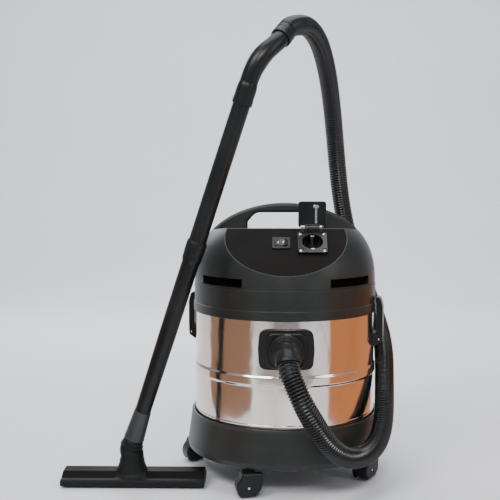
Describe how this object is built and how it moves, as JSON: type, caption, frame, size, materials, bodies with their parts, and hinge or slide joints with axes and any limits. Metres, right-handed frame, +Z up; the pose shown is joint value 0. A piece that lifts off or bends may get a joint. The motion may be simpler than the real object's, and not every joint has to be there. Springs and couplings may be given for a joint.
{
  "type": "shop vacuum",
  "caption": "Wet and dry canister vacuum with a polished steel tank, domed motor head, caster base, corrugated hose, bent wand and floor nozzle.",
  "frame": {"origin": "on the floor, at the middle of the box round the machine and its wand, without the hose", "axes": "+Z up, -Y to the front with the hose inlet and the control panel, +X to the right seen from the front; the tank's centre line stands at x 0.1122, y 0.0110"},
  "size_m": [0.6234, 0.4824, 0.8564],
  "materials": {
    "satin_plastic": "satin moulded black plastic",
    "panel_plastic": "smooth dark panel",
    "black_plastic": "moulded black plastic",
    "polished_steel": "mirror-polished stainless sheet",
    "bright_steel": "bright steel",
    "impeller_metal": "pressed aluminium",
    "motor_iron": "iron laminations and copper windings",
    "black_rubber": "matte rubber",
    "caster_tyre": "hard wheel",
    "hose_plastic": "flexible corrugated hose",
    "filter_foam": "open-cell filter foam",
    "brush_hair": "brush bristle"
  },
  "bodies": {
    "root": {"base_tray": "satin_plastic", "tank": "polished_steel", "inlet_flange": "black_plastic", "inlet_gasket": "black_rubber", "inlet_deflector": "black_plastic", "latch_bracket_left": "black_plastic", "latch_bracket_right": "black_plastic", "latch_pin_left": "bright_steel", "latch_pin_right": "bright_steel", "hose": "hose_plastic", "hose_cuff_inlet": "black_plastic", "hose_cuff_handle": "black_plastic", "handle_tube": "black_plastic", "wand_upper": "black_plastic", "wand_lower": "black_plastic", "nozzle_body": "black_plastic", "nozzle_insert": "black_plastic", "brush_front": "brush_hair", "brush_rear": "brush_hair"},
    "head": {"motor_deck": "satin_plastic", "head_seal": "black_rubber", "head_cover": "satin_plastic", "control_panel": "panel_plastic", "carry_handle": "satin_plastic", "switch_frame": "black_plastic", "socket_body": "black_plastic", "lid_hinge_pin": "bright_steel", "cord_gland": "black_rubber", "motor_housing": "black_plastic", "motor_stator": "motor_iron", "bearing_upper": "bright_steel", "bearing_lower": "bright_steel", "motor_gasket": "black_rubber", "float_cage": "black_plastic", "filter_sleeve": "filter_foam", "filter_clamp": "bright_steel"},
    "power_rocker": {"rocker_switch": "black_plastic"},
    "outlet_lid": {"socket_lid": "black_plastic", "lid_spring": "bright_steel"},
    "motor_rotor_set": {"motor_shaft": "bright_steel", "motor_rotor": "motor_iron", "suction_impeller": "impeller_metal", "cooling_fan": "black_plastic"},
    "float": {"float_ball": "black_plastic"},
    "latch_left": {"latch_lever_left": "black_plastic"},
    "latch_right": {"latch_lever_right": "black_plastic"},
    "caster_1_fork_body": {"caster_1_fork": "black_plastic", "caster_1_axle": "bright_steel"},
    "caster_1_wheel_body": {"caster_1_wheel": "caster_tyre"},
    "caster_2_fork_body": {"caster_2_fork": "black_plastic", "caster_2_axle": "bright_steel"},
    "caster_2_wheel_body": {"caster_2_wheel": "caster_tyre"},
    "caster_3_fork_body": {"caster_3_fork": "black_plastic", "caster_3_axle": "bright_steel"},
    "caster_3_wheel_body": {"caster_3_wheel": "caster_tyre"},
    "caster_4_fork_body": {"caster_4_fork": "black_plastic", "caster_4_axle": "bright_steel"},
    "caster_4_wheel_body": {"caster_4_wheel": "caster_tyre"}
  },
  "joints": [
    {"name": "head_lift", "type": "slide", "parent": "root", "child": "head", "axis": [0, 0, 1], "range_m": [0, 0.12]},
    {"name": "power_switch", "type": "hinge", "parent": "head", "child": "power_rocker", "pos_m": [0.1037, -0.09664, 0.44809], "axis": [0, 0.766, 0.6428], "range_deg": [0, 12]},
    {"name": "outlet_lid_hinge", "type": "hinge", "parent": "head", "child": "outlet_lid", "pos_m": [0.1602, -0.07919, 0.47318], "axis": [1, 0, 0], "range_deg": [0, 130]},
    {"name": "motor_spin", "type": "hinge", "parent": "head", "child": "motor_rotor_set", "pos_m": [0.1122, 0.011, 0.3691], "axis": [0, 0, 1], "continuous": true},
    {"name": "float_rise", "type": "slide", "parent": "head", "child": "float", "axis": [0, 0, 1], "range_m": [0, 0.043]},
    {"name": "latch_left_open", "type": "hinge", "parent": "root", "child": "latch_left", "pos_m": [-0.067, 0.04909, 0.2633], "axis": [-0.2079, -0.9781, 0], "range_deg": [0, 80]},
    {"name": "latch_right_open", "type": "hinge", "parent": "root", "child": "latch_right", "pos_m": [0.2914, -0.02709, 0.2633], "axis": [0.2079, 0.9781, 0], "range_deg": [0, 80]},
    {"name": "caster_1_swivel", "type": "hinge", "parent": "root", "child": "caster_1_fork_body", "pos_m": [0.0625, -0.15157, 0.0445], "axis": [0, 0, 1], "continuous": true},
    {"name": "caster_1_roll", "type": "hinge", "parent": "caster_1_fork_body", "child": "caster_1_wheel_body", "pos_m": [0.04477, -0.1547, 0.019], "axis": [0.1736, -0.9848, 0], "continuous": true},
    {"name": "caster_2_swivel", "type": "hinge", "parent": "root", "child": "caster_2_fork_body", "pos_m": [0.27477, -0.0387, 0.0445], "axis": [0, 0, 1], "continuous": true},
    {"name": "caster_2_roll", "type": "hinge", "parent": "caster_2_fork_body", "child": "caster_2_wheel_body", "pos_m": [0.26394, -0.05308, 0.019], "axis": [0.7986, -0.6018, 0], "continuous": true},
    {"name": "caster_3_swivel", "type": "hinge", "parent": "root", "child": "caster_3_fork_body", "pos_m": [0.1619, 0.17357, 0.0445], "axis": [0, 0, 1], "continuous": true},
    {"name": "caster_3_roll", "type": "hinge", "parent": "caster_3_fork_body", "child": "caster_3_wheel_body", "pos_m": [0.15575, 0.15666, 0.019], "axis": [0.9397, -0.342, 0], "continuous": true},
    {"name": "caster_4_swivel", "type": "hinge", "parent": "root", "child": "caster_4_fork_body", "pos_m": [-0.05037, 0.0607, 0.0445], "axis": [0, 0, 1], "continuous": true},
    {"name": "caster_4_roll", "type": "hinge", "parent": "caster_4_fork_body", "child": "caster_4_wheel_body", "pos_m": [-0.06655, 0.05281, 0.019], "axis": [0.4384, -0.8988, 0], "continuous": true}
  ]
}
